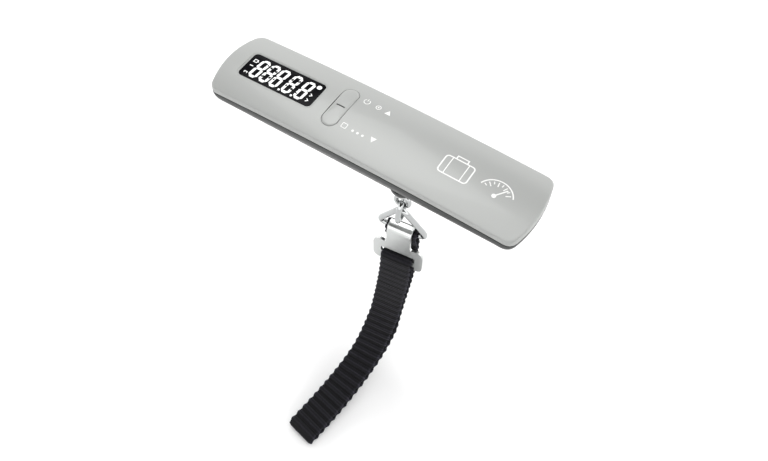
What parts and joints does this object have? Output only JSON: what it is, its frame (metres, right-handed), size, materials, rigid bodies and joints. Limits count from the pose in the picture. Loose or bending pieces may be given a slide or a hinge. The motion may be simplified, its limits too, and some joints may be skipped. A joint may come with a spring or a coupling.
{
  "type": "digital luggage scale",
  "caption": "Hand-held hanging scale: a long grip housing with a display and a rocker key, and a webbing strap on a swivelling eye, link, triangle ring and hook plate.",
  "frame": {"origin": "middle of the grip: mid length and mid width of the housing, 7.1 mm below the long edges of the display face", "axes": "+X along the housing from the display end to the plain end, +Y across the display towards the top of its figures, +Z out of the display face; the load pulls along -Z"},
  "size_m": [0.14, 0.0924, 0.1618],
  "materials": {
    "silver_paint": "satin silver paint",
    "dark_shell": "fine matt texture",
    "display_black": "gloss",
    "chrome_plate": "polished plating",
    "steel": "zinc plated",
    "load_cell_aluminium": "machined",
    "webbing": "ribbed woven webbing",
    "board": "solder mask",
    "black_plastic": "moulded",
    "white_plastic": "diffuser",
    "rubber": "silicone",
    "copper": "polyimide film",
    "cell_wrap": "printed sleeve"
  },
  "bodies": {
    "housing": {"front_cover": "silver_paint", "back_cover": "dark_shell", "strap_boss": "dark_shell", "display_bezel": "silver_paint", "display_lens": "display_black", "rocker_pin": "steel", "housing_screw_1": "steel", "housing_screw_2": "steel", "housing_screw_3": "steel", "housing_screw_4": "steel", "circuit_board": "board", "lcd_panel": "display_black", "lcd_backlight": "white_plastic", "lcd_connector": "rubber", "controller_chip": "black_plastic", "power_switch": "black_plastic", "unit_switch": "black_plastic", "switch_membrane": "rubber", "load_cell": "load_cell_aluminium", "strain_gauge_upper": "copper", "strain_gauge_lower": "copper", "cell_screw_1": "steel", "cell_screw_2": "steel", "gauge_ribbon": "copper", "battery_cell_1": "cell_wrap", "battery_cell_2": "cell_wrap", "contact_bridge": "steel", "contact_plate": "steel", "contact_spring_1": "steel", "contact_spring_2": "steel"},
    "key": {"rocker_key": "silver_paint"},
    "door": {"battery_door": "dark_shell"},
    "eye": {"load_eye": "chrome_plate", "load_washer": "steel", "load_nut": "steel"},
    "link": {"oval_link": "chrome_plate"},
    "ring": {"triangle_ring": "chrome_plate"},
    "strap": {"strap": "webbing"},
    "hook": {"hook_plate": "chrome_plate"}
  },
  "joints": [
    {"name": "key_rock", "type": "hinge", "parent": "housing", "child": "key", "pos_m": [-0.0165, 0.0005, 0.0053], "axis": [1, 0, 0], "range_deg": [-2, 2], "stiffness_Nm_per_rad": 0.05},
    {"name": "door_lift", "type": "slide", "parent": "housing", "child": "door", "axis": [0, 0, -1], "range_m": [0, 0.012]},
    {"name": "eye_swivel", "type": "hinge", "parent": "housing", "child": "eye", "pos_m": [0.0132, 0, -0.03], "axis": [0, 0, 1], "continuous": true},
    {"name": "link_swing", "type": "hinge", "parent": "eye", "child": "link", "pos_m": [0.0132, 0, -0.033], "axis": [0.9925, 0.1219, 0], "range_deg": [-20, 60]},
    {"name": "ring_swing", "type": "hinge", "parent": "link", "child": "ring", "pos_m": [0.01333, -0.00107, -0.03553], "axis": [0.9925, 0.1219, 0], "range_deg": [-10, 10]},
    {"name": "strap_swing", "type": "hinge", "parent": "ring", "child": "strap", "pos_m": [0.01299, 0.00173, -0.05331], "axis": [0.9925, 0.1219, 0], "range_deg": [-25, 10]},
    {"name": "hook_release", "type": "hinge", "parent": "strap", "child": "hook", "pos_m": [0.01348, -0.00229, -0.07151], "axis": [0.9925, 0.1219, 0], "range_deg": [0, 70]}
  ]
}
